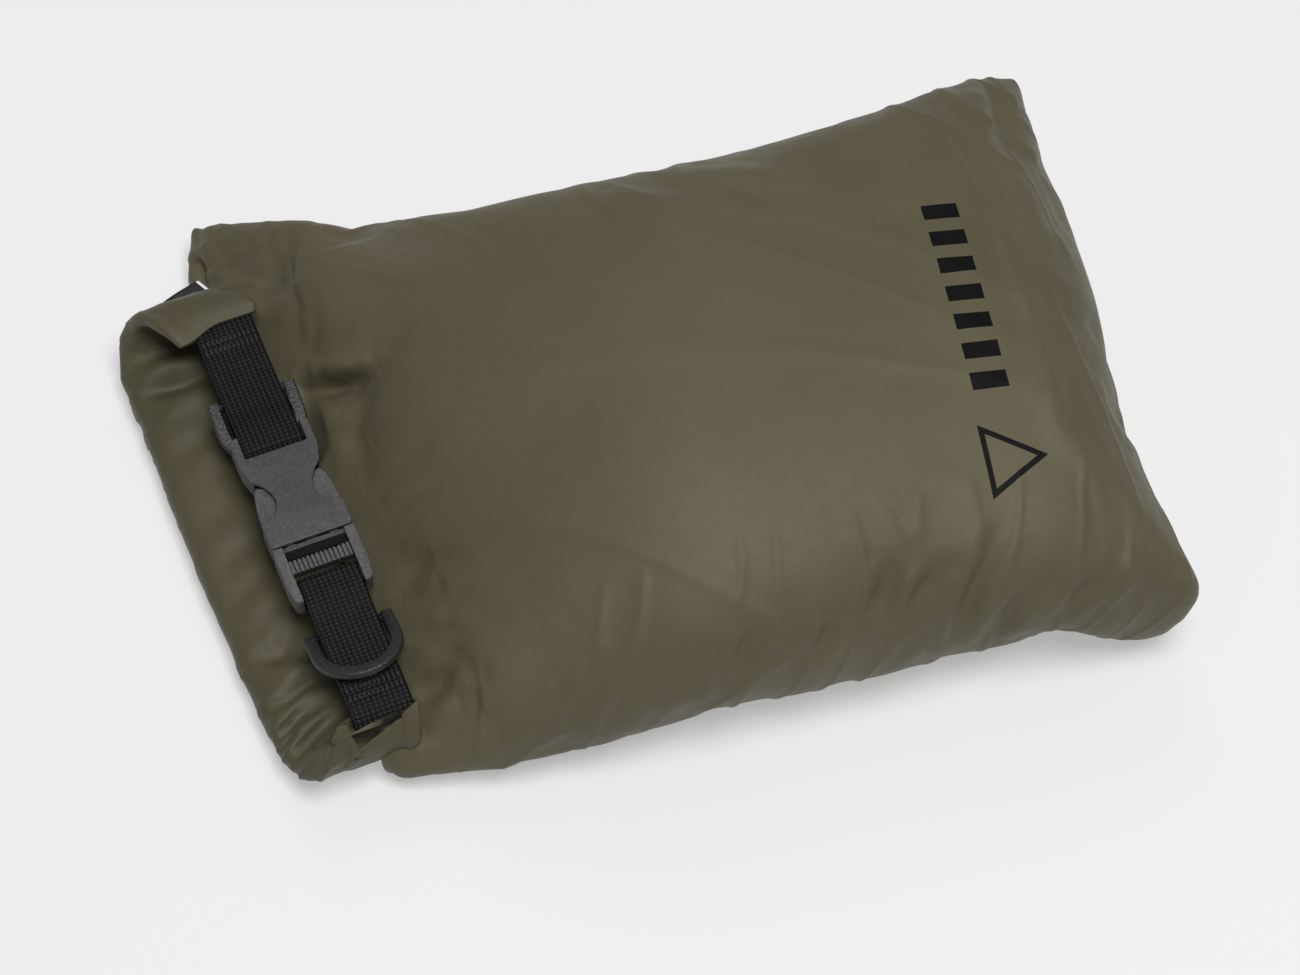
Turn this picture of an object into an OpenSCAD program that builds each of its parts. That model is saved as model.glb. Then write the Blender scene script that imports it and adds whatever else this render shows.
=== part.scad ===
// A roll-top stuff sack, packed full and lying on its back.
// Millimetres. +Z is up, +X runs from the rolled mouth to the base, +Y across the sack.

/* [Sack] */
// Length of the packed body, from the neck to the base seam
body_l = 250; // [200:1:330]
// Width across the side seams at half length
body_w = 188; // [160:1:215]
// Height of the crown above the ground
crown_h = 91; // [70:1:120]
// Height of the top edge of the base panel
base_h = 72; // [55:1:90]
// How far the base panel bulges past its seam
base_bulge = 9; // [6:1:20]
// Thickness of the coated cloth, as a solid
cloth_t = 0.8; // [0.6:0.1:1.2]

/* [Rolled mouth] */
// Width of the flat roll, along the sack
roll_w = 41; // [38:1:46]
// Straight length of the roll, between its folded ends
roll_l = 141; // [138:1:150]
// Number of turns in the roll
roll_turns = 3; // [2:1:4]
// How far the roll leans out of square with the sack, in degrees
skew = 7; // [5:0.5:8]

/* [Webbing] */
// Width of the webbing
web_w = 20; // [20:1:20]
// Thickness of one layer of webbing
web_t = 1.3; // [1.1:0.1:1.4]
// Height of the webbing above the ground
strap_z = 38; // [37:0.5:40]

/* [Buckle] */
// Width over the socket
socket_w = 27.5; // [27:0.5:28]
// Thickness of the socket
socket_t = 9; // [8.5:0.5:9.5]
// Length of the socket, from the mouth to the webbing bar
socket_l = 43; // [42:1:44]
// Length of the plug that shows past the socket
plug_l = 21; // [20:1:22]
// Width over the finger pads of the prongs
pad_w = 26.6; // [26:0.2:27]

/* [Rings] */
// Width over a ring
ring_w = 30; // [29.8:0.2:32]
// Height over a ring
ring_h = 25; // [24:0.2:27]
// Thickness of a ring
ring_t = 3; // [2.8:0.1:3.2]

/* [Hidden] */

// The model's origin is under the middle of its box.
mid_x = -3.56;
mid_y = 10.25;

// Body stations and the cross-section
neck_x = -107.6;
neck_y = 17;
neck_w = 220;
neck_top = 18;
neck_bottom = 4.5;
neck_lean = tan(skew);
base_y = -6.5;
base_w = 200;
base_lean = tan(2.5);
crown_at = 0.48;
lift_share = 0.14;
upper_fullness = 2.3;
lower_fullness = 3.0;
floor_bite = 2;
stations = 24;
ring_steps = 28;
base_rings = 6;
tape_t = 0.35;
tape_gap = 0.1;
tape_span = 2;
filling_gap = 0.8;

function share(x) = (x - neck_x) / body_l;
function half_w(u) = (body_w + (neck_w - body_w) * pow(1 - u, 5) + (base_w - body_w) * pow(u, 5)) / 2;
function side_y(u) = base_y + (neck_y - base_y) * pow(1 - u, 6);
function lean(u) = neck_lean + (base_lean - neck_lean) * u;
function top_z(u) = u < crown_at
    ? neck_top + (crown_h - neck_top) * pow(sin(90 * u / crown_at), 0.85)
    : crown_h - (crown_h - base_h) * pow((u - crown_at) / (1 - crown_at), 3);
function low_z(u) = u < lift_share ? neck_bottom * pow(1 - u / lift_share, 2) : 0;
function seam_z(u) = low_z(u) + 0.46 * (top_z(u) - low_z(u));
function bulge(v, n) = sign(v) * pow(abs(v), 2 / n);

// A point of the body: u along it, a round it in degrees, inset under its skin
function body_at(u, a, inset) =
    let(
        upper = a <= 180,
        n = upper ? upper_fullness : lower_fullness,
        y = side_y(u) + (half_w(u) - inset) * bulge(cos(a), n),
        rise = upper ? top_z(u) - inset - seam_z(u) : seam_z(u) - low_z(u) + floor_bite - inset,
        z = max(low_z(u) + inset, seam_z(u) + rise * bulge(sin(a), n))
    )
    [neck_x + body_l * u - lean(u) * y, y, z];

// A point of the bulging base: r runs from the seam, 1, to the middle, 0
function base_at(r, a, inset) =
    let(
        rim = body_at(1, a, inset),
        centre = [neck_x + body_l, side_y(1), seam_z(1)],
        out = base_bulge * (1 - r * r) - inset * (1 - pow(r, 8)),
        y = centre[1] + (rim[1] - centre[1]) * r,
        z = centre[2] + (rim[2] - centre[2]) * r
    )
    [neck_x + body_l - base_lean * y + out, y, z];

// Faces between two stacked grids of points, rows x cols, closed on every edge
function grid_faces(rows, cols, wrap) =
    let(
        layer = rows * cols,
        last = wrap ? cols : cols - 1,
        outer = [for (i = [0:rows - 2], j = [0:last - 1])
            [i * cols + j, (i + 1) * cols + j, (i + 1) * cols + (j + 1) % cols, i * cols + (j + 1) % cols]],
        inner = [for (f = outer) [f[3] + layer, f[2] + layer, f[1] + layer, f[0] + layer]],
        ends = [for (j = [0:last - 1]) each [
            [j, (j + 1) % cols, (j + 1) % cols + layer, j + layer],
            [(rows - 1) * cols + (j + 1) % cols, (rows - 1) * cols + j,
                (rows - 1) * cols + j + layer, (rows - 1) * cols + (j + 1) % cols + layer]]],
        sides = wrap ? [] : [for (i = [0:rows - 2]) each [
            [(i + 1) * cols, i * cols, i * cols + layer, (i + 1) * cols + layer],
            [i * cols + cols - 1, (i + 1) * cols + cols - 1,
                (i + 1) * cols + cols - 1 + layer, i * cols + cols - 1 + layer]]]
    )
    concat(outer, inner, ends, sides);

// A patch of skin between two insets, over part of the body's length and girth
module skin(u0, u1, a0, a1, outer, inner, rows, cols, wrap = false) {
    span = wrap ? cols : cols - 1;
    function at(i, j, inset) = body_at(u0 + (u1 - u0) * i / (rows - 1), (a0 + (a1 - a0) * j / span) % 360, inset);
    points = concat(
        [for (i = [0:rows - 1], j = [0:cols - 1]) at(i, j, outer)],
        [for (i = [0:rows - 1], j = [0:cols - 1]) at(i, j, inner)]
    );
    polyhedron(points, grid_faces(rows, cols, wrap), convexity = 8);
}

module placed() {
    translate([-mid_x, -mid_y, 0]) children();
}

module front_panel() {
    color("#5b543f") placed()
        skin(0, 1, 0, 180, 0, cloth_t, stations + 1, ring_steps + 1);
}

module back_panel() {
    color("#5b543f") placed()
        skin(0, 1, 180, 359.999, 0, cloth_t, stations + 1, ring_steps + 1);
}

module base_panel() {
    cols = 2 * ring_steps;
    function loop(r, inset) = [for (j = [0:cols - 1]) base_at(r, 360 * j / cols, inset)];
    rings = [for (i = [0:base_rings - 1]) 1 - i / base_rings];
    outer = [for (r = rings) each loop(r, 0)];
    inner = [for (r = rings) each loop(r, cloth_t)];
    layer = len(outer);
    points = concat(outer, inner, [base_at(0, 0, 0), base_at(0, 0, cloth_t)]);
    walls = [for (i = [0:base_rings - 2], j = [0:cols - 1]) each let(k = (j + 1) % cols) [
        [i * cols + j, (i + 1) * cols + j, (i + 1) * cols + k, i * cols + k],
        [i * cols + k + layer, (i + 1) * cols + k + layer, (i + 1) * cols + j + layer, i * cols + j + layer]]];
    tip = (base_rings - 1) * cols;
    fans = [for (j = [0:cols - 1]) each let(k = (j + 1) % cols) [
        [tip + j, 2 * layer, tip + k],
        [tip + k + layer, 2 * layer + 1, tip + j + layer]]];
    rim = [for (j = [0:cols - 1]) let(k = (j + 1) % cols) [j, k, k + layer, j + layer]];
    color("#554e3a") placed()
        polyhedron(points, concat(walls, fans, rim), convexity = 6);
}

module packed_filling() {
    inset = cloth_t + filling_gap;
    cols = 2 * ring_steps;
    u_first = 0.02;
    bodies = [for (i = [0:stations], j = [0:cols - 1])
        body_at(u_first + (1 - u_first) * i / stations, 360 * j / cols, inset)];
    rings = [for (i = [1:base_rings - 1], j = [0:cols - 1]) base_at(1 - i / base_rings, 360 * j / cols, inset)];
    points = concat(bodies, rings, [base_at(0, 0, inset)]);
    rows = stations + base_rings;
    walls = [for (i = [0:rows - 2], j = [0:cols - 1]) let(k = (j + 1) % cols)
        [i * cols + j, (i + 1) * cols + j, (i + 1) * cols + k, i * cols + k]];
    tip = (rows - 1) * cols;
    fan = [for (j = [0:cols - 1]) [tip + j, rows * cols, tip + (j + 1) % cols]];
    neck = [[for (j = [0:cols - 1]) j]];
    color("#8d8a80") placed()
        polyhedron(points, concat(walls, fan, neck), convexity = 4);
}

// Tape that seals a side seam from inside
module side_tape(a_mid) {
    step = 180 / ring_steps;
    color("#3c3a33") placed()
        skin(0.04, 0.93, a_mid - tape_span * step, a_mid + tape_span * step,
            cloth_t + tape_gap, cloth_t + tape_gap + tape_t, stations + 1, 2 * tape_span + 1);
}

module side_seam_tape_upper() {
    side_tape(360);
}

module side_seam_tape_lower() {
    side_tape(180);
}

module base_seam_tape() {
    color("#3c3a33") placed()
        skin(0.95, 0.995, 0, 360, cloth_t + tape_gap, cloth_t + tape_gap + tape_t, 3, 2 * ring_steps, true);
}

// The closure's own frame: its origin is on the neck line, and its Y runs along the roll
closure_y = 2.5;

module closure() {
    placed() translate([neck_x - 0.4 - neck_lean * closure_y, closure_y, 0]) rotate([0, 0, skew]) children();
}

// The strap's own frame: X across the webbing, Y along it, Z out of its face
strap_x = -8;

module strap() {
    closure() translate([strap_x, 0, strap_z]) children();
}

// A band of thickness t that follows a path in a plane
function along(p, i) = let(d = p[min(i + 1, len(p) - 1)] - p[max(i - 1, 0)]) d / norm(d);
function beside(p, i, s) = let(d = along(p, i)) p[i] + s * [-d[1], d[0]];
function band(p, t) = concat(
    [for (i = [0:len(p) - 1]) beside(p, i, t / 2)],
    [for (i = [len(p) - 1:-1:0]) beside(p, i, -t / 2)]
);
function arc(cx, cy, r, a0, a1, steps) = [for (i = [0:steps]) let(a = a0 + (a1 - a0) * i / steps)
    [cx + r * cos(a), cy + r * sin(a)]];

// Draws a Y-Z outline and gives it a width along X
module across(x0, x1) {
    translate([x0, 0, 0]) rotate([90, 0, 90]) linear_extrude(x1 - x0) children();
}

// Spiral of the rolled mouth, seen along the roll
roll_z = 9.5;
roll_half_w = [13, roll_w / 2 - cloth_t / 2];
roll_half_t = [1.7, 5.4];
spiral_step = 15;

module rolled_mouth() {
    full = 360 * roll_turns;
    path = [for (a = [0:spiral_step:full]) let(f = a / full) [
        -roll_w / 2 + (roll_half_w[0] + (roll_half_w[1] - roll_half_w[0]) * f) * cos(a),
        roll_z + (roll_half_t[0] + (roll_half_t[1] - roll_half_t[0]) * f) * sin(a)]];
    color("#57503b") closure()
        translate([0, roll_l / 2, 0]) rotate([90, 0, 0])
            linear_extrude(roll_l) polygon(band(path, cloth_t));
}

module mouth_stiffener() {
    color("#222222") closure()
        translate([-roll_w / 2 - 11, -roll_l / 2, roll_z - 0.5]) cube([20, roll_l, 1]);
}

// One folded end of the roll: it curls up towards the strap, with the webbing sewn into it
end_t = 5;
curl_r = 8;
end_gap = 0.4;
slot_play = 0.15;
curl_y = roll_l / 2 + end_gap + 3;
wrap_upper = [55, 90];
wrap_lower = [5, 50];

// Middle line of the curl's upper bend between two angles, in the strap's frame
function upper_bend(from, to) = arc(curl_y, -curl_r, curl_r, from, to, 6);

module roll_end(wrap, lip) {
    bend = upper_bend(0, wrap[1]);
    path = concat(
        [[roll_l / 2 + end_gap, roll_z]],
        arc(curl_y, roll_z + curl_r, curl_r, -90, 0, 6),
        [for (p = bend) p + [0, strap_z]],
        lip > 0 ? [[curl_y - lip, strap_z]] : []
    );
    slot = concat(upper_bend(wrap[0] - 2, 90), [[curl_y - lip - 2, 0]]);
    difference() {
        across(-roll_w, 0) polygon(band(path, end_t));
        translate([strap_x, 0, strap_z])
            across(-web_w / 2 - slot_play, web_w / 2 + slot_play) polygon(band(slot, web_t + 2 * slot_play));
    }
}

module roll_end_upper() {
    color("#5b543f") closure() roll_end(wrap_upper, 2.5);
}

module roll_end_lower() {
    color("#5b543f") closure() mirror([0, 1, 0]) roll_end(wrap_lower, 0);
}

// Places along the strap, from the middle of the buckle's joint face
mouth_y = -14.5;
bar_r = 1.5;
bar_l = 4.2;
bar_y = mouth_y + socket_l - bar_l;
tail_bar_y = mouth_y - plug_l + 6.5;
wrap_r = bar_r + 0.15 + web_t / 2;
layer_z = web_t / 2 + 0.05;
tack_y = [66, -70.5];
tack_l = 3.4;

// Each ring's bar is held between the two layers of its webbing
ring_band = 4.2;
ring_y = [45, -47];
ring_z = -web_t / 2 - bar_r - 0.35;
ring_tilt = [13, -22];
dip_z = ring_z - bar_r - 0.35 - web_t / 2;

// Webbing that comes out of a roll end, goes round a bar, passes behind a ring's bar and is sewn to itself.
// Drawn along +y, with the middle of the bar at y = bar.
module looped_webbing(wrap, bar, ring, sewn) {
    path = concat(
        upper_bend(wrap, 90),
        [[ring - 4, 0], [bar + 8, wrap_r], [bar, wrap_r]],
        arc(bar, 0, wrap_r, 100, 260, 8),
        [[bar, -wrap_r], [bar + 7.5, -wrap_r], [ring - 2.6, dip_z], [ring + 2.6, dip_z],
            [sewn - 3, -web_t - 0.1], [sewn + 1.8, -web_t - 0.1]]
    );
    across(-web_w / 2, web_w / 2) polygon(band(path, web_t));
}

module webbing_upper() {
    color("#1c1c1e") strap() looped_webbing(wrap_upper[0], bar_y, ring_y[0], tack_y[0]);
}

module webbing_lower() {
    color("#1c1c1e") strap() mirror([0, 1, 0])
        looped_webbing(wrap_lower[0], -tail_bar_y, -ring_y[1], -tack_y[1]);
}

// Rows of stitches that hold a webbing loop shut
module bartack(y) {
    stitches = 12;
    pitch = (web_w - 3) / (stitches - 1);
    for (row = [-1, 1], i = [0:stitches - 1])
        translate([-web_w / 2 + 1.5 + pitch * i - 0.35, y + row * tack_l / 2 - 0.9, web_t / 2])
            cube([0.7, 1.8, 0.3]);
}

module bartack_upper() {
    color("#303034") strap() bartack(tack_y[0]);
}

module bartack_lower() {
    color("#303034") strap() bartack(tack_y[1]);
}

// Socket half of the buckle
bite_y = mouth_y + 10.3;
waist_w = 24.6;
cavity_w = 21.4;
cavity_t = 5.8;
cavity_l = 27;
slot_w = web_w + 0.8;
slot_l = 2.9;
head_w = 26.4;

// Outline of the socket, with a bite at each side for the finger pads
module socket_plan() {
    half = socket_w / 2;
    top = mouth_y + socket_l;
    right = [[half - 0.8, mouth_y], [half, mouth_y + 1.2], [half, bite_y - 1], [half - 0.8, bite_y],
        [half - 4.2, bite_y + 1], [half - 6.4, bite_y + 3], [half - 7.2, bite_y + 6], [half - 6.7, bite_y + 9.2],
        [half - 4.8, bite_y + 12.7], [waist_w / 2 - 0.8, bite_y + 15.5], [head_w / 2, bite_y + 21],
        [head_w / 2, top - 1.4], [head_w / 2 - 1.4, top]];
    polygon(concat(right, [for (i = [len(right) - 1:-1:0]) [-right[i][0], right[i][1]]]));
}

module buckle_socket() {
    top = mouth_y + socket_l;
    color("#3a3b3e") strap() difference() {
        translate([0, 0, -socket_t / 2]) linear_extrude(socket_t) socket_plan();
        // pocket for the plug
        translate([-cavity_w / 2, mouth_y - 1, -cavity_t / 2]) cube([cavity_w, cavity_l + 1, cavity_t]);
        // slot that the webbing goes through, and the relief over and under the bar
        translate([-slot_w / 2, bar_y - bar_r - slot_l, -socket_t]) cube([slot_w, slot_l, 2 * socket_t]);
        for (side = [-1, 1])
            translate([-slot_w / 2, bar_y - bar_r - 0.01, side > 0 ? bar_r : -bar_r - socket_t])
                cube([slot_w, top - bar_y + bar_r + 1, socket_t]);
        // round front edge of the bar
        translate([-slot_w / 2, bar_y, 0]) rotate([0, 90, 0]) difference() {
            translate([-bar_r - 1, -bar_r - 0.02, 0]) cube([2 * bar_r + 2, bar_r + 0.02, slot_w]);
            cylinder(r = bar_r, h = slot_w, $fn = 48);
        }
    }
}

// Plug half of the buckle
shoulder_l = 1.6;
plug_t = 7.6;
teeth = 14;
knuckle_r = 1.5;
knuckle_x = 7.2;
knuckle_y = mouth_y - 0.2;
plug_gap = 0.3;
window_l = 5;
grip_l = 4.3;

module plug_frame() {
    half = socket_w / 2;
    face = mouth_y - plug_gap;
    rear = mouth_y - plug_l;
    window = slot_w / 2;
    // side rails, narrowing to the rear
    for (side = [-1, 1])
        translate([0, 0, -plug_t / 2]) linear_extrude(plug_t)
            polygon([[side * window, face], [side * (half - 0.3), face], [side * half, face - 1],
                [side * half, rear + 6], [side * (half - 0.8), rear + 1], [side * (half - 1.8), rear],
                [side * window, rear]]);
    // shoulder across the socket's mouth
    translate([-window, face - shoulder_l, -cavity_t / 2]) cube([slot_w, shoulder_l, cavity_t]);
    // toothed grip bar
    translate([-window, face - window_l - grip_l, -1.4]) cube([slot_w, grip_l, 2.8]);
    for (i = [0:teeth - 1])
        translate([-window + slot_w * (i + 0.22) / teeth, face - window_l - grip_l - 0.2, 1.3])
            cube([slot_w / teeth * 0.56, grip_l + 0.3, 1]);
    // bar that the webbing goes round
    translate([-window, tail_bar_y, 0]) rotate([0, 90, 0]) cylinder(r = bar_r, h = slot_w, $fn = 48);
    translate([-window, tail_bar_y - bar_l, -bar_r]) cube([slot_w, bar_l, 2 * bar_r]);
    // tongue that guides the plug into the socket
    translate([-2.1, face - 0.5, -2.2]) cube([4.2, cavity_l - 3, 4.4]);
}

module buckle_plug() {
    color("#3a3b3e") strap() difference() {
        plug_frame();
        for (side = [-1, 1])
            translate([side * knuckle_x, knuckle_y, -plug_t]) {
                cylinder(r = knuckle_r + 0.06, h = 2 * plug_t, $fn = 48);
                translate([-knuckle_r - 0.06, 0, 0]) cube([2 * knuckle_r + 0.12, 3, 2 * plug_t]);
            }
    }
}

// A springy arm of the plug: a round root, a slim arm and a finger pad with its catch
module prong(side) {
    pad = pad_w / 2;
    catch_y = bite_y + 0.35;
    arm_t = 5;
    color("#3f4043") strap() {
        translate([side * knuckle_x, knuckle_y, -arm_t / 2]) cylinder(r = knuckle_r, h = arm_t, $fn = 48);
        translate([0, 0, -arm_t / 2]) linear_extrude(arm_t)
            polygon([[side * (knuckle_x - 1.1), knuckle_y + 0.4], [side * (knuckle_x + 1.1), knuckle_y + 0.4],
                [side * (knuckle_x + 2.2), catch_y - 2], [side * (knuckle_x + 2.4), catch_y + 1.1],
                [side * (pad - 0.5), catch_y + 0.1],
                [side * pad, catch_y + 0.9], [side * (pad - 0.3), catch_y + 6], [side * (pad - 1.2), catch_y + 11],
                [side * (pad - 2.6), catch_y + 13.4], [side * (pad - 4.4), catch_y + 12.6],
                [side * (knuckle_x - 2), catch_y + 8], [side * (knuckle_x - 1.4), catch_y + 2]]);
    }
}

module prong_left() {
    prong(-1);
}

module prong_right() {
    prong(1);
}

// Flat moulded ring: a bar, two short arms and half a hoop. The bar lies on the frame's X axis.
module ring() {
    outer = ring_w / 2;
    hoop_y = -(ring_h - outer - bar_r);
    edge = 0.7;
    section = [[outer - ring_band, -ring_t / 2 + edge], [outer - ring_band + edge, -ring_t / 2],
        [outer - edge, -ring_t / 2], [outer, -ring_t / 2 + edge], [outer, ring_t / 2 - edge],
        [outer - edge, ring_t / 2], [outer - ring_band + edge, ring_t / 2], [outer - ring_band, ring_t / 2 - edge]];
    translate([0, hoop_y, 0]) rotate([0, 0, 180]) rotate_extrude(angle = 180, $fn = 96) polygon(section);
    for (side = [0, 1])
        mirror([side, 0, 0]) translate([0, bar_r, 0]) rotate([90, 0, 0])
            linear_extrude(bar_r - hoop_y) polygon(section);
    translate([-outer + 1, 0, 0]) rotate([0, 90, 0]) cylinder(r = bar_r, h = ring_w - 2, $fn = 48);
}

module ring_upper() {
    color("#2b2b2e") strap() translate([0, ring_y[0], ring_z]) rotate([ring_tilt[0], 0, 0]) ring();
}

module ring_lower() {
    color("#2b2b2e") strap() translate([0, ring_y[1], ring_z]) rotate([ring_tilt[1], 0, 0]) ring();
}

// Folded label sewn into the mouth's seam, beside the roll
label_y = 104;
label_l = 17;
label_w = 15;

module care_label() {
    root = [neck_x - 0.4 - neck_lean * label_y, label_y, 13];
    color("#111111") placed() translate(root) rotate([0, 14, skew])
        translate([-label_l, -label_w / 2, 0]) cube([label_l, label_w, 0.7]);
}

front_panel();
back_panel();
base_panel();
packed_filling();
side_seam_tape_upper();
side_seam_tape_lower();
base_seam_tape();
rolled_mouth();
mouth_stiffener();
roll_end_upper();
roll_end_lower();
webbing_upper();
webbing_lower();
bartack_upper();
bartack_lower();
buckle_socket();
buckle_plug();
prong_left();
prong_right();
ring_upper();
ring_lower();
care_label();
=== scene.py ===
import math

import bmesh
import bpy
import numpy as np
from mathutils import Matrix, Vector, noise
from mathutils.bvhtree import BVHTree


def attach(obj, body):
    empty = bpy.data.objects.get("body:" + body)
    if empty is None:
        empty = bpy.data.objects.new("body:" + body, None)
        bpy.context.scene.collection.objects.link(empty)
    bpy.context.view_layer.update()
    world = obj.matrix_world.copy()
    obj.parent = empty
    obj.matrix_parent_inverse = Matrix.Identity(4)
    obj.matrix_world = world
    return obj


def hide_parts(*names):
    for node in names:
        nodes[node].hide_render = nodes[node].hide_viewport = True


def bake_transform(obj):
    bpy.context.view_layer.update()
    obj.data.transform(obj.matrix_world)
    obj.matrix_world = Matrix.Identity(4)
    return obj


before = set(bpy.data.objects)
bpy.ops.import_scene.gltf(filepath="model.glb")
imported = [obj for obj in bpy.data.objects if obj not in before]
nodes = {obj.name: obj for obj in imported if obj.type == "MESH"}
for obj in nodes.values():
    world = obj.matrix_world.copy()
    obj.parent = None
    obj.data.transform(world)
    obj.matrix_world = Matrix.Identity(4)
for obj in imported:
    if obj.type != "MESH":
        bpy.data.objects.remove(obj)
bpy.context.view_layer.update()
mm = 0.001

# The closure lies a little out of square with the sack; the strap runs above it
closureFrame = Matrix.Translation((-0.104747, -0.00775, 0)) @ Matrix.Rotation(math.radians(7), 4, "Z")
strapFrame = closureFrame @ Matrix.Translation((-0.008, 0, 0.038))


def inClosure(x, y, z):
    return closureFrame @ Vector((x * mm, y * mm, z * mm))


def inStrap(x, y, z):
    return strapFrame @ Vector((x * mm, y * mm, z * mm))


def ease(value, low, high):
    t = min(1.0, max(0.0, (value - low) / (high - low)))
    return t * t * (3 - 2 * t)


# View
view = {
    "lens": 120,
    "sensor": 36,
    "target": (0.00356, -0.01025, 0),
    "back": (-0.1294, -0.48296, 0.8660),
    "distance": 1.434,
}
cameraData = bpy.data.cameras.new("camera")
cameraData.lens = view["lens"]
cameraData.sensor_width = view["sensor"]
cameraData.clip_end = 50
camera = bpy.data.objects.new("camera", cameraData)
bpy.context.scene.collection.objects.link(camera)
backward = Vector(view["back"]).normalized()
camera.location = Vector(view["target"]) + backward * view["distance"]
camera.rotation_euler = backward.to_track_quat("Z", "Y").to_euler()
bpy.context.scene.camera = camera
bpy.context.scene.view_settings.view_transform = "Standard"

# Light and floor
studio = {
    "floorColour": (0.42, 0.42, 0.42),
    "floorFleck": (0.4, 0.4, 0.4),
    "floorGlow": 0.39,
    "world": 0.21,
    "keyPower": 63,
    "keyPlace": (0.15, -0.7, 2.55),
    "keySize": 1.1,
    "fillPower": 6,
    "fillPlace": (0.3, 1.4, 1.8),
    "fillSize": 0.8,
}


def areaLight(name, place, size, power):
    data = bpy.data.lights.new(name, "AREA")
    data.shape = "DISK"
    data.size = size
    data.energy = power
    lamp = bpy.data.objects.new(name, data)
    lamp.location = place
    lamp.rotation_euler = Vector(place).to_track_quat("Z", "Y").to_euler()
    bpy.context.scene.collection.objects.link(lamp)


areaLight("keyLight", studio["keyPlace"], studio["keySize"], studio["keyPower"])
areaLight("fillLight", studio["fillPlace"], studio["fillSize"], studio["fillPower"])
world = bpy.data.worlds.new("studio")
world.use_nodes = True
world.node_tree.nodes["Background"].inputs[0].default_value = (1, 1, 1, 1)
world.node_tree.nodes["Background"].inputs[1].default_value = studio["world"]
bpy.context.scene.world = world


def newMesh(name, bm, smooth=True):
    mesh = bpy.data.meshes.new(name)
    bm.to_mesh(mesh)
    bm.free()
    if smooth:
        mesh.shade_smooth()
    piece = bpy.data.objects.new(name, mesh)
    bpy.context.scene.collection.objects.link(piece)
    return piece


floorMesh = bmesh.new()
bmesh.ops.create_circle(floorMesh, cap_ends=True, segments=96, radius=9)
floor = newMesh("floor", floorMesh, smooth=False)
print("camera, light and floor")

# Finishes


def link(tree, source, target):
    tree.links.new(source, target)


def newGroup(name, inputs, outputs):
    group = bpy.data.node_groups.new(name, "ShaderNodeTree")
    for label, kind, value in inputs:
        socket = group.interface.new_socket(label, in_out="INPUT", socket_type=kind)
        socket.default_value = value
    for label, kind in outputs:
        group.interface.new_socket(label, in_out="OUTPUT", socket_type=kind)
    return group, group.nodes.new("NodeGroupInput"), group.nodes.new("NodeGroupOutput")


def compute(tree, operation, a, b=None, c=None, clamp=False):
    made = tree.nodes.new("ShaderNodeMath")
    made.operation = operation
    made.use_clamp = clamp
    for socket, value in enumerate((a, b, c)):
        if value is None:
            continue
        if isinstance(value, (int, float)):
            made.inputs[socket].default_value = value
        else:
            tree.links.new(value, made.inputs[socket])
    return made.outputs[0]


# Threads that pass over and under each other: height 0..1 from a coordinate counted in threads
def makeWeaveGroup():
    group, given, result = newGroup(
        "plainWeave",
        [("Vector", "NodeSocketVector", (0, 0, 0)),
         ("Threads X", "NodeSocketFloat", 1000),
         ("Threads Y", "NodeSocketFloat", 1000)],
        [("Height", "NodeSocketFloat"), ("Gap", "NodeSocketFloat")])
    split = group.nodes.new("ShaderNodeSeparateXYZ")
    link(group, given.outputs["Vector"], split.inputs[0])
    across = compute(group, "MULTIPLY", split.outputs[0], given.outputs["Threads X"])
    along = compute(group, "MULTIPLY", split.outputs[1], given.outputs["Threads Y"])
    sineX = compute(group, "SINE", compute(group, "MULTIPLY", across, math.pi))
    sineY = compute(group, "SINE", compute(group, "MULTIPLY", along, math.pi))
    product = compute(group, "MULTIPLY", sineX, sineY)
    crown = compute(group, "ABSOLUTE", product)
    link(group, compute(group, "POWER", crown, 0.5), result.inputs["Height"])
    link(group, compute(group, "LESS_THAN", crown, 0.12), result.inputs["Gap"])
    return group


# Soft blotches: slow changes of tone and gloss over a surface
def makeToneGroup():
    group, given, result = newGroup(
        "slowTone",
        [("Vector", "NodeSocketVector", (0, 0, 0)),
         ("Scale", "NodeSocketFloat", 20),
         ("Detail scale", "NodeSocketFloat", 220)],
        [("Slow", "NodeSocketFloat"), ("Fine", "NodeSocketFloat")])
    for label, out, detail in (("Scale", "Slow", 3), ("Detail scale", "Fine", 4)):
        cloud = group.nodes.new("ShaderNodeTexNoise")
        cloud.inputs["Detail"].default_value = detail
        link(group, given.outputs["Vector"], cloud.inputs["Vector"])
        link(group, given.outputs[label], cloud.inputs["Scale"])
        link(group, cloud.outputs["Fac"], result.inputs[out])
    return group


# Lighter edges: rubbed wear and a painted highlight on the rims, at the convex places of a mesh, broken up
# by noise
def makeWearAndHighlightGroup():
    group, given, result = newGroup(
        "edgeWearAndHighlight",
        [("Vector", "NodeSocketVector", (0, 0, 0)),
         ("Start", "NodeSocketFloat", 0.53),
         ("Width", "NodeSocketFloat", 0.1)],
        [("Mask", "NodeSocketFloat")])
    geometry = group.nodes.new("ShaderNodeNewGeometry")
    above = compute(group, "SUBTRACT", geometry.outputs["Pointiness"], given.outputs["Start"])
    ramp = compute(group, "DIVIDE", above, given.outputs["Width"], clamp=True)
    cloud = group.nodes.new("ShaderNodeTexNoise")
    cloud.inputs["Scale"].default_value = 700
    link(group, given.outputs["Vector"], cloud.inputs["Vector"])
    link(group, compute(group, "MULTIPLY", ramp, cloud.outputs["Fac"], clamp=True), result.inputs["Mask"])
    return group


weaveGroup = makeWeaveGroup()
toneGroup = makeToneGroup()
wearAndHighlightGroup = makeWearAndHighlightGroup()


def placeGroup(tree, group, **values):
    made = tree.nodes.new("ShaderNodeGroup")
    made.node_tree = group
    for key, value in values.items():
        socket = made.inputs[key.replace("_", " ")]
        if isinstance(value, (int, float, tuple)):
            socket.default_value = value
        else:
            tree.links.new(value, socket)
    return made


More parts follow.
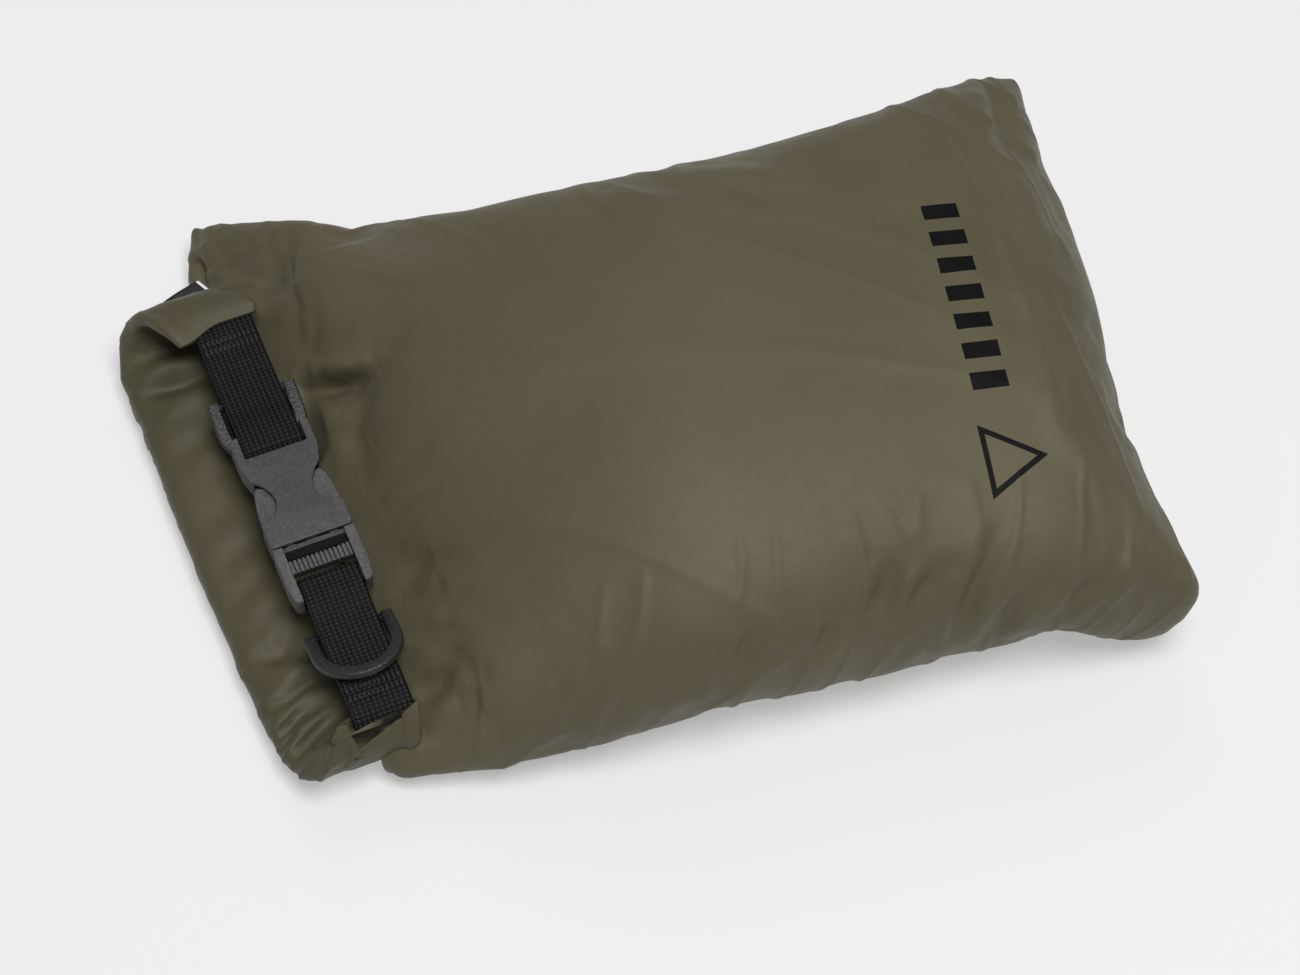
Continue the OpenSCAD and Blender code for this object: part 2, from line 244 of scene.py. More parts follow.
def startMaterial(name, roughness, specular=0.5, sheen=0.0, sheenRoughness=0.5):
    material = bpy.data.materials.new(name)
    material.use_nodes = True
    tree = material.node_tree
    shader = tree.nodes["Principled BSDF"]
    shader.inputs["Roughness"].default_value = roughness
    shader.inputs["Specular IOR Level"].default_value = specular
    shader.inputs["Sheen Weight"].default_value = sheen
    shader.inputs["Sheen Roughness"].default_value = sheenRoughness
    where = tree.nodes.new("ShaderNodeTexCoord")
    return material, tree, shader, where.outputs["Object"]


def mixColour(tree, factor, a, b):
    made = tree.nodes.new("ShaderNodeMix")
    made.data_type = "RGBA"
    if isinstance(factor, (int, float)):
        made.inputs[0].default_value = factor
    else:
        link(tree, factor, made.inputs[0])
    for socket, value in ((6, a), (7, b)):
        if isinstance(value, tuple):
            made.inputs[socket].default_value = (*value, 1)
        else:
            link(tree, value, made.inputs[socket])
    return made.outputs[2]


def spread(tree, value, low, high):
    made = tree.nodes.new("ShaderNodeMapRange")
    made.inputs["To Min"].default_value = low
    made.inputs["To Max"].default_value = high
    made.inputs["From Min"].default_value = 0.3
    made.inputs["From Max"].default_value = 0.7
    link(tree, value, made.inputs["Value"])
    return made.outputs["Result"]


def bump(tree, height, distance, strength=1.0, onTop=None):
    made = tree.nodes.new("ShaderNodeBump")
    made.inputs["Strength"].default_value = strength
    made.inputs["Distance"].default_value = distance
    link(tree, height, made.inputs["Height"])
    if onTop is not None:
        link(tree, onTop, made.inputs["Normal"])
    return made.outputs["Normal"]


clothLook = {
    "dark": (0.074, 0.065, 0.036),
    "light": (0.104, 0.090, 0.050),
    "roughness": (0.50, 0.57),
    "threads": 1900,
    "gapShade": 0.25,
    "specular": 0.26,
    "sheen": 0.04,
    "print": (0.003, 0.003, 0.003),
    "printSpecular": 0.1,
}


def makeCloth(name, look, printed=False):
    material, tree, shader, place = startMaterial(name, 0.45, look["specular"], look["sheen"], 0.4)
    tone = placeGroup(tree, toneGroup, Vector=place, Scale=18, Detail_scale=260)
    weave = placeGroup(tree, weaveGroup, Vector=place, Threads_X=look["threads"], Threads_Y=look["threads"])
    shade = mixColour(tree, spread(tree, tone.outputs["Slow"], 0.2, 0.8), look["dark"], look["light"])
    gaps = compute(tree, "MULTIPLY", weave.outputs["Gap"], look["gapShade"])
    shade = mixColour(tree, gaps, shade, look["dark"])
    gloss = spread(tree, tone.outputs["Fine"], *look["roughness"])
    if printed:
        mask = printMask(tree, place)
        shade = mixColour(tree, mask, shade, look["print"])
        bare = compute(tree, "SUBTRACT", 1, mask)
        link(tree, compute(tree, "MULTIPLY", bare, look["sheen"]), shader.inputs["Sheen Weight"])
        rise = look["specular"] - look["printSpecular"]
        link(tree, compute(tree, "MULTIPLY_ADD", bare, rise, look["printSpecular"]),
             shader.inputs["Specular IOR Level"])
    link(tree, shade, shader.inputs["Base Color"])
    link(tree, gloss, shader.inputs["Roughness"])
    coarse = bump(tree, tone.outputs["Fine"], 0.0004, 0.2)
    link(tree, bump(tree, weave.outputs["Height"], 0.00008, 0.5, coarse), shader.inputs["Normal"])
    return material


# A plain printed mark: an outlined peak and a row of short bars
printLook = {
    "peakPlace": (0.1004, -0.0755),
    "peakSides": (180, 60, -60),
    "peakReach": (0.0050, 0.0068),
    "barsPlace": (0.1045, -0.0170),
    "bars": 7,
    "barPitch": 0.0108,
    "barSize": (0.0118, 0.0058),
    "turn": -3.3,
    "lowest": 0.055,
}


def printMask(tree, place):
    def placed(centre):
        mapping = tree.nodes.new("ShaderNodeMapping")
        mapping.vector_type = "TEXTURE"
        mapping.inputs["Location"].default_value = (*centre, 0)
        mapping.inputs["Rotation"].default_value = (0, 0, math.radians(printLook["turn"]))
        link(tree, place, mapping.inputs["Vector"])
        split = tree.nodes.new("ShaderNodeSeparateXYZ")
        link(tree, mapping.outputs[0], split.inputs[0])
        return split.outputs

    # bars, stacked along the sack's width
    x, y, z = placed(printLook["barsPlace"])
    pitch, (barLength, barWidth) = printLook["barPitch"], printLook["barSize"]
    inRow = compute(tree, "LESS_THAN", compute(tree, "ABSOLUTE", y), pitch * printLook["bars"] / 2)
    cell = compute(tree, "WRAP", y, pitch / 2, -pitch / 2)
    inBar = compute(tree, "LESS_THAN", compute(tree, "ABSOLUTE", cell), barWidth / 2)
    inLength = compute(tree, "LESS_THAN", compute(tree, "ABSOLUTE", x), barLength / 2)
    bars = compute(tree, "MULTIPLY", compute(tree, "MULTIPLY", inRow, inBar), inLength)
    # outlined peak: three straight sides with a thick line
    x, y, z = placed(printLook["peakPlace"])
    sides = []
    for angle in printLook["peakSides"]:
        c, s = math.cos(math.radians(angle)), math.sin(math.radians(angle))
        sides.append(compute(tree, "ADD", compute(tree, "MULTIPLY", x, c), compute(tree, "MULTIPLY", y, s)))
    far = compute(tree, "MAXIMUM", compute(tree, "MAXIMUM", sides[0], sides[1]), sides[2])
    inside = compute(tree, "LESS_THAN", far, printLook["peakReach"][1])
    hollow = compute(tree, "GREATER_THAN", far, printLook["peakReach"][0])
    peak = compute(tree, "MULTIPLY", inside, hollow)
    aboveFloor = compute(tree, "GREATER_THAN", z, printLook["lowest"])
    return compute(tree, "MULTIPLY", compute(tree, "MAXIMUM", bars, peak), aboveFloor)


frontCloth = makeCloth("oliveCloth", clothLook, printed=True)
# The rolled cloth is painted a little darker: painted shade, as the band lies low and slants away from the
# light
rollShadedLook = dict(clothLook, dark=(0.060, 0.053, 0.029), light=(0.083, 0.072, 0.040))
rollShadedCloth = makeCloth("oliveClothPlainShaded", rollShadedLook)


webbingLook = {
    "threads": (1 / 0.0017, 1 / 0.00137),
    # gap and crown colours: painted shade in the gaps, painted highlight on the thread crowns
    "gap": (0.0002, 0.0002, 0.0002),
    "crown": (0.022, 0.022, 0.023),
    "fuzz": (0.014, 0.014, 0.015),
    "fuzzShare": 0.25,
    "roughness": (0.5, 0.75),
}


def makeWebbing(name, look):
    material, tree, shader, place = startMaterial(name, 0.6, 0.12, 0.0, 0.4)
    own = tree.nodes.new("ShaderNodeUVMap")
    own.uv_map = "weave"
    threadsX, threadsY = look["threads"]
    weave = placeGroup(tree, weaveGroup, Vector=own.outputs[0], Threads_X=threadsX, Threads_Y=threadsY)
    tone = placeGroup(tree, toneGroup, Vector=place, Scale=60, Detail_scale=900)
    # thread crowns painted lighter and gaps darker: a painted highlight and painted shade on the black
    # threads
    crown = compute(tree, "POWER", weave.outputs["Height"], 3)
    shade = mixColour(tree, crown, look["gap"], look["crown"])
    shade = mixColour(tree, spread(tree, tone.outputs["Fine"], 0, look["fuzzShare"]), shade, look["fuzz"])
    link(tree, shade, shader.inputs["Base Color"])
    link(tree, spread(tree, tone.outputs["Fine"], *look["roughness"]), shader.inputs["Roughness"])
    link(tree, bump(tree, tone.outputs["Fine"], 0.0001, 0.4), shader.inputs["Normal"])
    return material


def makePlastic(name, base, lit, wornAndHighlight, roughness, grain):
    material, tree, shader, place = startMaterial(name, roughness[0], 0.4)
    tone = placeGroup(tree, toneGroup, Vector=place, Scale=90, Detail_scale=grain)
    wearAndHighlight = placeGroup(tree, wearAndHighlightGroup, Vector=place, Start=0.515, Width=0.06)
    shade = mixColour(tree, spread(tree, tone.outputs["Slow"], 0, 1), base, lit)
    shade = mixColour(tree, spread(tree, tone.outputs["Fine"], 0, 0.22), shade, wornAndHighlight)
    # convex edges take the worn colour: rubbed wear and a painted highlight
    shade = mixColour(tree, wearAndHighlight.outputs["Mask"], shade, wornAndHighlight)
    link(tree, shade, shader.inputs["Base Color"])
    link(tree, spread(tree, tone.outputs["Fine"], *roughness), shader.inputs["Roughness"])
    link(tree, bump(tree, tone.outputs["Fine"], 0.0003, 0.8), shader.inputs["Normal"])
    return material


webbingBlack = makeWebbing("webbingBlack", webbingLook)
plasticLooks = {
    # base, lit and worn colour (the worn colour also paints the edge highlight), roughness, grain
    "bucklePlastic": ((0.018, 0.018, 0.020), (0.027, 0.027, 0.029), (0.12, 0.12, 0.122), (0.42, 0.56), 1400),
    "ringPlastic": ((0.003, 0.003, 0.0035), (0.005, 0.005, 0.0055), (0.03, 0.03, 0.032), (0.36, 0.5), 1200),
    "threadBlack": ((0.006, 0.006, 0.007), (0.011, 0.011, 0.012), (0.018, 0.018, 0.02), (0.5, 0.7), 2500),
    "labelBlack": ((0.006, 0.006, 0.007), (0.010, 0.010, 0.011), (0.02, 0.02, 0.02), (0.5, 0.65), 1800),
    "labelWhite": ((0.75, 0.75, 0.73), (0.85, 0.85, 0.83), (0.9, 0.9, 0.9), (0.5, 0.65), 1800),
    "innerFoam": ((0.25, 0.24, 0.22), (0.3, 0.29, 0.27), (0.35, 0.34, 0.32), (0.7, 0.9), 400),
}
bucklePlastic, ringPlastic, threadBlack, labelBlack, labelWhite, innerFoam = (
    makePlastic(name, *look) for name, look in plasticLooks.items())
floorPaper, floorTree, floorShader, floorPlace = startMaterial("floorPaper", 0.9, 0.1)
floorTone = placeGroup(floorTree, toneGroup, Vector=floorPlace, Scale=3, Detail_scale=500)
floorFlecks = spread(floorTree, floorTone.outputs["Fine"], 0, 0.02)
floorShade = mixColour(floorTree, floorFlecks, studio["floorColour"], studio["floorFleck"])
link(floorTree, floorShade, floorShader.inputs["Base Color"])
floorShader.inputs["Emission Color"].default_value = (1, 1, 1, 1)
floorShader.inputs["Emission Strength"].default_value = studio["floorGlow"]
floor.data.materials.append(floorPaper)
print("finishes")


# A tube or sheet from a grid: place(along, around) gives a point, both 0..1
def fromGrid(name, along, around, place, size, closed=True, capped=False):
    bm = bmesh.new()
    weave = bm.loops.layers.uv.new("weave")
    bmesh.ops.create_grid(bm, x_segments=along, y_segments=around, size=1)
    for face in bm.faces:
        for loop in face.loops:
            loop[weave].uv = ((loop.vert.co.y + 1) / 2 * size[0], (loop.vert.co.x + 1) / 2 * size[1])
    for vert in bm.verts:
        vert.co = place((vert.co.x + 1) / 2, (vert.co.y + 1) / 2)
    if closed:
        bmesh.ops.remove_doubles(bm, verts=bm.verts, dist=0.00002)
    if capped:
        bmesh.ops.holes_fill(bm, edges=[e for e in bm.edges if e.is_boundary])
    bmesh.ops.recalc_face_normals(bm, faces=bm.faces)
    return newMesh(name, bm)


def applied(piece):
    graph = bpy.context.evaluated_depsgraph_get()
    mesh = bpy.data.meshes.new_from_object(piece.evaluated_get(graph), depsgraph=graph)
    piece.modifiers.clear()
    piece.data = mesh
    return piece


def vertexValues(mesh, kind):
    flat = np.zeros(len(mesh.vertices) * 3, np.float64)
    mesh.vertices.foreach_get(kind, flat)
    return flat.reshape(-1, 3)


def coordinates(mesh):
    return vertexValues(mesh, "co")


def moveTo(piece, points):
    piece.data.vertices.foreach_set("co", points.ravel())
    piece.data.update()


# Packed sack
sack = {
    "neckX": -107.6, "endX": 150.0, "turnX": 110.0, "underX": 133.0,
    "shift": (3.56, -10.25),
    "neckTop": 20, "crown": 90, "baseTop": 76,
    "mouthShare": 0.05, "straightShare": 0.7, "crownShare": 0.48, "length": 250,
    "neckLean": 7, "baseLean": 1.0,
    "voxel": 4.2, "pressure": 4.0, "frames": 18, "cap": 6.0,
    "stuffingInset": 6.0, "stuffingVoxel": 6.5,
}


# Where the neck's gussets run out past the roll: 1 in the middle of the lug, 0 away from it
def neckLug(q, middle, width):
    return math.exp(-((q - middle) / width) ** 2)


def sackPoint(s, t):
    angle = 2 * math.pi * t
    c, sn = math.cos(angle), math.sin(angle)
    wall, split, peak = sack["mouthShare"], sack["straightShare"], sack["crownShare"]
    if s < wall:
        x0, opened = 0.0, s / wall
    else:
        x0, opened = (s - wall) / (1 - wall), 1.0
    if x0 < split:
        x = sack["neckX"] + (sack["turnX"] - sack["neckX"]) * x0 / split
    else:
        turned = math.sin(math.pi / 2 * (x0 - split) / (1 - split))
        x = sack["turnX"] + (sack["endX"] - sack["turnX"]) * turned
    u = (x - sack["neckX"]) / sack["length"]
    half = (188 + 32 * max(0, 1 - u) ** 5 + 12 * u ** 5) / 2
    side = -6.5 + 23.5 * max(0, 1 - u) ** 6
    if u < peak:
        top = sack["neckTop"] + (sack["crown"] - sack["neckTop"]) * math.sin(math.pi / 2 * u / peak) ** 0.85
    else:
        top = sack["crown"] - (sack["crown"] - sack["baseTop"]) * ((u - peak) / (1 - peak)) ** 3
    low = 4.5 * (1 - u / 0.14) ** 2 if u < 0.14 else 0
    seam = low + 0.46 * (top - low) + 10 * ease(x, 40, 140)
    closing = min(1, max(0, (x - sack["turnX"]) / (sack["endX"] - sack["turnX"])))
    lowClosing = min(1, max(0, (x - sack["underX"]) / (sack["endX"] - sack["underX"])))
    rise = (top - seam) * (1 - closing ** 2.0) ** 0.52
    fall = (seam - low) * (1 - lowClosing ** 2.3) ** 0.45
    shoulder = 1 - ease(x, -106, -62)
    upper = 2.3 + (4.0 if c > 0 else 1.0) * shoulder
    lower = 3.0 + 2.5 * ease(x, 100, 140)
    power = upper if sn >= 0 else lower
    y = side + half * math.copysign(abs(c) ** (2 / power), c)
    if sn >= 0:
        z = seam + rise * opened * sn ** (2 / power)
    else:
        bite = 2 * (1 - lowClosing)
        z = max(low * opened + seam * (1 - opened),
                seam - (fall + bite) * opened * abs(sn) ** (2 / power))
    # pull the far corners out into ears, the end line in between them, and the shoulder out
    end = ease(x, 95, 146)
    q = (y - side) / half
    if q > 0:
        waist = ease(x, -70, 0) * (1 - ease(x, 90, 135))
        y += 3.5 * end * q ** 6 - 3.5 * waist * q ** 4 + 4.0 * shoulder * q ** 5
        x += 7.0 * end * q ** 3 - 3.0 * shoulder * q ** 8
    y += 5.5 * max(0, q) ** 4 * math.exp(-((x + 72) / 24) ** 2)
    y += 3.5 * max(0, -q) ** 6 * math.exp(-((x + 105) / 20) ** 2)
    upperLug, lowerLug = neckLug(q, 0.83, 0.12), neckLug(q, -0.91, 0.10)
    x -= (10.5 * upperLug + 14.0 * lowerLug) * (1 - ease(x, -106, -98))
    z *= 1 - (0.6 * upperLug + 0.1 * lowerLug) * (1 - ease(x, -112, -106))
    outward, back = 3.0 * math.exp(-((q - 0.3) / 0.4) ** 2), 2.5 * math.exp(-((q + 0.5) / 0.35) ** 2)
    x += ease(x, 120, 149) * (outward - back)
    neckLean, baseLean = math.tan(math.radians(sack["neckLean"])), math.tan(math.radians(sack["baseLean"]))
    lean = neckLean + (baseLean - neckLean) * u
    x += -lean * y + 6 * (1 - opened) ** 2
    return Vector(((x + sack["shift"][0]) * mm, (y + sack["shift"][1]) * mm, z * mm))


cloth = fromGrid("sackCloth", 90, 96, sackPoint, (0.6, 0.26))
cloth.data.materials.append(frontCloth)


def remeshed(piece, voxel):
    step = piece.modifiers.new("evenMesh", "REMESH")
    step.mode = "VOXEL"
    step.voxel_size = voxel * mm
    step.use_smooth_shade = True
    return applied(piece)


# Drops the loose crumbs that a remesh leaves where an inset shape crosses itself
def keepLargest(piece):
    bm = bmesh.new()
    bm.from_mesh(piece.data)
    left, islands = set(bm.verts), []
    while left:
        island, front = set(), [left.pop()]
        while front:
            vert = front.pop()
            island.add(vert)
            for edge in vert.link_edges:
                other = edge.other_vert(vert)
                if other in left:
                    left.discard(other)
                    front.append(other)
        islands.append(island)
    islands.sort(key=len)
    bmesh.ops.delete(bm, geom=[v for island in islands[:-1] for v in island], context="VERTS")
    bm.to_mesh(piece.data)
    bm.free()


clothSettings = {
    "quality": 6,
    "mass": 0.12,
    "tension_stiffness": 18,
    "compression_stiffness": 12,
    "shear_stiffness": 8,
    "bending_stiffness": 0.35,
    "use_pressure": True,
    "shrink_min": -0.02,
    "pin_stiffness": 1,
}


# Blows the cloth up against its own stretch, then limits how far each point has moved
def inflated(piece, held, look):
    start = coordinates(piece.data)
    group = piece.vertex_groups.new(name="held")
    for index in np.nonzero(held(start))[0]:
        group.add([int(index)], 1.0, "REPLACE")
    step = piece.modifiers.new("cloth", "CLOTH")
    for setting, value in clothSettings.items():
        setattr(step.settings, setting, value)
    step.settings.uniform_pressure_force = look["pressure"]
    step.settings.vertex_group_mass = "held"
    step.settings.effector_weights.gravity = 0
    step.point_cache.frame_start = 1
    step.point_cache.frame_end = look["frames"]
    for number in range(1, look["frames"] + 1):
        bpy.context.scene.frame_set(number)
    graph = bpy.context.evaluated_depsgraph_get()
    end = coordinates(piece.evaluated_get(graph).data)
    piece.modifiers.clear()
    piece.vertex_groups.clear()
    move = end - start
    far = np.linalg.norm(move, axis=1)
    limit = look["cap"] * mm
    share = np.where(far > 1e-9, limit * np.tanh(far / limit) / np.maximum(far, 1e-9), 1.0)
    end = start + move * share[:, None]
    end[:, 2] = np.maximum(end[:, 2], 0.0)
    moveTo(piece, end)
    bpy.context.scene.frame_set(1)
    return piece


remeshed(cloth, sack["voxel"])
keepLargest(cloth)
inflated(cloth, lambda p: (p[:, 0] < -0.088 - 0.12 * p[:, 1]) | (p[:, 2] < 0.0012), sack)
halving = cloth.modifiers.new("finer", "SUBSURF")
halving.levels = halving.render_levels = 2
applied(cloth)
print("sack cloth", len(cloth.data.vertices))

# Creases: a line on the cloth, how wide and how deep; a fold drops on one side and rises on the other
creases = [
    # shoulder gusset
    ("valley", 2.6, 2.0, [(-117.5, 116, 14), (-119, 104, 12), (-119.5, 93, 10)]),
    ("ridge", 3.0, 1.6, [(-114, 116, 17), (-115, 104, 19), (-114.5, 92, 20)]),
    ("fold", 4.0, 2.0, [(-110, 86, 20), (-104, 78, 27), (-96, 74, 34)]),
    # by the strap
    ("fold", 3.2, -3.4, [(-103, 42, 26), (-89.8, 33.3, 39.6), (-76.5, 27.4, 50.7)]),
    ("fold", 6.0, 1.6, [(-103.8, 32.1, 24.7), (-90.8, 26.2, 38.1), (-80.8, 21.2, 46.8)]),
    ("valley", 6.0, 2.2, [(-92, 84, 36), (-99.0, 76.6, 31.6), (-105.4, 72.7, 26.4)]),
    ("fold", 5.0, 1.4, [(-97.8, 33.9, 31.9), (-89.8, 23.5, 38.9), (-85.8, 11.0, 41.7)]),
    ("fold", 5.0, 1.2, [(-96.1, 19.5, 32.3), (-90.8, 9.6, 36.6), (-90.4, 0.2, 35.9)]),
    ("fold", 4.0, 1.3, [(-86.8, -44.1, 33.2), (-80.7, -45.9, 38.9), (-74.4, -47.8, 44.4)]),
    ("fold", 4.5, 1.4, [(-91.6, -47.9, 27.0), (-79.9, -53.3, 38.3), (-72.7, -57.7, 44.0)]),
    ("valley", 4.5, 1.8, [(-89.3, -75.9, 23.5), (-82.9, -77.4, 29.8), (-72.2, -74.8, 40.1)]),
    ("fold", 4.0, 1.5, [(-90.0, -85.1, 20.4), (-82.9, -83.8, 28.0), (-77.9, -83.8, 32.4)]),
    # top edge
    ("fold", 7.0, 1.3, [(-76.9, 77.7, 44.1), (-61.6, 60.8, 57.2), (-48.8, 43.1, 67.7)]),
    ("fold", 7.0, 1.2, [(-53.3, 67.3, 58.5), (-41.2, 46.4, 70.4), (-33.8, 35.7, 75.8)]),
    ("valley", 5.0, 1.2, [(38.8, 49.2, 80.0), (48.4, 39.3, 83.6), (57.3, 29.7, 85.9)]),
    ("fold", 6.0, 1.0, [(35.5, 58.9, 74.9), (46.9, 51.5, 78.7), (57.6, 44.3, 81.4)]),
    ("fold", 6.0, 0.8, [(8.2, 57.2, 76.2), (22.1, 46.7, 81.3), (33.5, 39.6, 83.8)]),
    # ear
    ("valley", 4.5, 3.2, [(143, 76, 54), (141.3, 59.4, 61.4), (137.1, 44.1, 68.2)]),
    ("valley", 4.0, 2.6, [(150, 70, 52), (147, 58, 58), (141.6, 44.0, 66.6)]),
    ("fold", 5.0, 1.5, [(137.1, 70.5, 56.2), (133.9, 51.1, 67.0), (131.2, 38.3, 71.7)]),
    ("fold", 5.0, 1.2, [(141.6, 35.6, 68.7), (143.2, 21.7, 70.6), (142.0, 7.8, 72.6)]),
    ("fold", 5.0, 1.0, [(148, 34, 60), (147.6, 12.7, 64.4)]),
    # puckers over the near side
    ("valley", 3.4, 2.2, [(93.5, -91.3, 73.2), (82.9, -103.5, 64.4), (75.3, -111.7, 41.9)]),
    ("valley", 3.4, 2.0, [(101.5, -104.9, 61.8), (93.0, -110.1, 53.6), (86.6, -111.8, 34.7)]),
    ("valley", 3.2, 1.9, [(71.8, -97.2, 70.7), (65.1, -103.4, 64.9), (59.9, -107.9, 57.8)]),
    ("valley", 3.2, 1.8, [(58.8, -94.9, 72.7), (52.2, -103.2, 65.3), (48.6, -106.5, 60.7)]),
    ("valley", 3.4, 2.0, [(13.0, -102.2, 65.6), (6.6, -107.4, 57.1), (8.0, -109.6, 51.7)]),
    ("valley", 3.0, 1.4, [(16.9, -107.4, 58.1), (11.3, -109.2, 53.4)]),
    ("valley", 3.4, 1.4, [(-34.6, -97.9, 55.3), (-42.4, -104.0, 45.7), (-50.1, -108.2, 34.4)]),
    ("valley", 3.0, 1.1, [(-44.9, -97.9, 49.7), (-49.6, -103.2, 42.3)]),
    ("valley", 3.2, 1.6, [(38.3, -104.9, 62.8), (31.8, -108.2, 56.9), (27.0, -109.9, 51.7)]),
    ("valley", 3.2, 1.5, [(46.9, -103.8, 64.5), (41.5, -109.7, 52.8)]),
    ("valley", 3.4, 1.7, [(122.7, -106.0, 58.5), (114.3, -110.1, 53.3), (107.1, -112.7, 43.7)]),
    ("fold", 4.0, 1.3, [(136.5, -106.5, 56.0), (125.5, -112.9, 46.5)]),
]
ridges = [
    (5.0, 1.6, [(128.2, 20.7, 76.1), (123.8, -3.3, 79.8), (120.0, -36.2, 81.0), (117.3, -64.1, 78.8),
                (125.1, -82.3, 72.0), (137.7, -93.4, 64.3), (146, -104, 55)]),
]


# The line's points about every 4 mm, each moved to the nearest point of the surface
def laidOn(tree, line):
    knots = np.array(line, float) * mm
    lengths = np.concatenate([[0], np.cumsum(np.linalg.norm(np.diff(knots, axis=0), axis=1))])
    even = np.linspace(0, lengths[-1], max(3, int(lengths[-1] / 0.004)))
    dense = np.stack([np.interp(even, lengths, knots[:, i]) for i in range(3)], 1)
    return [tuple(v / mm for v in tree.find_nearest(Vector(p))[0]) for p in dense]


def alongLine(points, line):
    best = np.full(len(points), 1e9)
    offset = np.zeros((len(points), 3))
    share = np.zeros(len(points))
    direction = np.zeros((len(points), 3))
    knots = np.array(line, float) * mm
    lengths = np.linalg.norm(np.diff(knots, axis=0), axis=1)
    total, before = lengths.sum(), 0.0
    for a, b, length in zip(knots[:-1], knots[1:], lengths):
        way = (b - a) / length
        reach = np.clip((points - a) @ way, 0, length)
        gap = points - a - reach[:, None] * way
        distance = np.linalg.norm(gap, axis=1)
        closer = distance < best
        best = np.where(closer, distance, best)
        offset[closer] = gap[closer]
        direction[closer] = way
        share = np.where(closer, (before + reach) / total, share)
        before += length
    return best, offset, direction, share


# How near a rim the creases fade out, in metres
rimReach = 0.014


def creased(piece, lines, raised=(), rims=()):
    points = coordinates(piece.data)
    normals = vertexValues(piece.data, "normal")
    move = np.zeros(len(points))
    tree = BVHTree.FromPolygons([tuple(p) for p in points], [tuple(f.vertices) for f in piece.data.polygons])
    lines = [(kind, width, depth, laidOn(tree, line)) for kind, width, depth, line in lines]
    raised = [(width, height, laidOn(tree, line)) for width, height, line in raised]
    for kind, width, depth, line in lines:
        distance, offset, direction, share = alongLine(points, line)
        taper = np.clip(np.sin(np.pi * (0.02 + 0.96 * share)), 0, 1) ** 0.8
        side = np.sign(np.einsum("ij,ij->i", np.cross(direction, normals), offset))
        r = distance / (width * mm)
        if kind == "valley":
            shape = -np.exp(-r ** 2) + 0.45 * np.exp(-((r - 1.7) / 0.8) ** 2)
        elif kind == "ridge":
            shape = np.exp(-r ** 2)
        else:
            shape = side * r * np.exp(0.5 - 0.5 * r ** 2)
        move += depth * mm * taper * shape
    for width, height, line in raised:
        distance, _, _, share = alongLine(points, line)
        r = distance / (width * mm)
        move += height * mm * np.exp(-r ** 2) * np.clip(np.sin(np.pi * (0.05 + 0.93 * share)), 0, 1) ** 0.5
    for rim in rims:
        move *= 1 - np.exp(-(np.linalg.norm(points - np.array(rim), axis=1) / rimReach) ** 4)
    points += normals * move[:, None]
    points[:, 2] = np.maximum(points[:, 2], 0.0)
    moveTo(piece, points)


# Fine wrinkles: the zero lines of a stretched noise, raised by height inside a zone
def wrinkled(piece, zones, frameTurn=None):
    points = coordinates(piece.data)
    normals = vertexValues(piece.data, "normal")
    own = points / mm
    if frameTurn is not None:
        turned = np.array(frameTurn.inverted())
        own = (points @ turned[:3, :3].T + turned[:3, 3]) / mm
    move = np.zeros(len(points))
    for number, (across, period, height, zone) in enumerate(zones):
        weight = np.clip(zone(own), 0, 1)
        across = np.array(across, float) / np.linalg.norm(across)
        reach = own @ across
        rest = own - reach[:, None] * across
        where = reach[:, None] * across / period + rest / (period * 5) + 11.3 * number
        for index in np.nonzero(weight > 0.02)[0]:
            value = noise.noise(Vector(where[index]))
            move[index] += height * weight[index] * (0.8 * math.exp(-(value / 0.10) ** 2) + value)
    points += normals * move[:, None] * mm
    points[:, 2] = np.maximum(points[:, 2], 0.0)
    moveTo(piece, points)


sackWrinkles = [
    # near side, far edge, end, neck, everywhere
    ((1, 0, -0.45), 13, 0.75, lambda p: (-78 - p[:, 1]) / 22 * (p[:, 2] - 6) / 20),
    ((0.75, 0.66, 0.2), 15, 0.65, lambda p: (p[:, 1] - 32) / 40 * (p[:, 2] - 6) / 20),
    ((1, 0.1, -0.3), 15, 0.6, lambda p: (p[:, 0] - 112) / 25 * (p[:, 2] - 6) / 20),
    ((0.25, 1, 0), 12, 0.8, lambda p: (-62 - p[:, 0]) / 28),
    ((0.6, 0.8, 0), 34, 0.45, lambda p: (p[:, 2] - 20) / 30),
]
rollWrinkles = [
    ((0.25, 1, 0.1), 9, 0.45, lambda p: np.where(np.abs(p[:, 1]) < 76, 1.0, 0.0) * (22 - p[:, 2]) / 5),
    ((-0.45, 1, 0.2), 7, 0.9,
     lambda p: (-28 - p[:, 1]) / 25 * np.clip((28 - p[:, 2]) / 6, 0, 1) * (p[:, 2] - 9) / 6),
    ((0.6, 0.6, 0.5), 7, 0.3, lambda p: (p[:, 1] - 72) / 6),
]


# The stuffing is the cloth's own shape, a few millimetres further in
stuffing = bpy.data.objects.new("stuffing", cloth.data.copy())
bpy.context.scene.collection.objects.link(stuffing)
inward = vertexValues(stuffing.data, "normal")
moveTo(stuffing, coordinates(stuffing.data) - inward * sack["stuffingInset"] * mm)
remeshed(stuffing, sack["stuffingVoxel"])
keepLargest(stuffing)
stuffing.data.materials.clear()
stuffing.data.materials.append(innerFoam)
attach(stuffing, "sack")
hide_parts("packed_filling")

creased(cloth, creases, ridges)
wrinkled(cloth, sackWrinkles)


# Presses the cloth down where the upper ring swings to: below a slope, inside a soft-edged patch
def pressedDown(piece, patch, slopeFrom, slope):
    points = coordinates(piece.data)
    (x0, x1), (y0, y1) = patch
    x, y = points[:, 0] / mm, points[:, 1] / mm
    share = (np.clip((x - x0) / 4, 0, 1) * np.clip((x1 - x) / 5, 0, 1)
             * np.clip((y - y0) / 4, 0, 1) * np.clip((y1 - y) / 4, 0, 1))
    limit = (slopeFrom[1] + (y - slopeFrom[0]) * slope) * mm
    points[:, 2] -= share * np.maximum(0, points[:, 2] - limit)
    moveTo(piece, points)


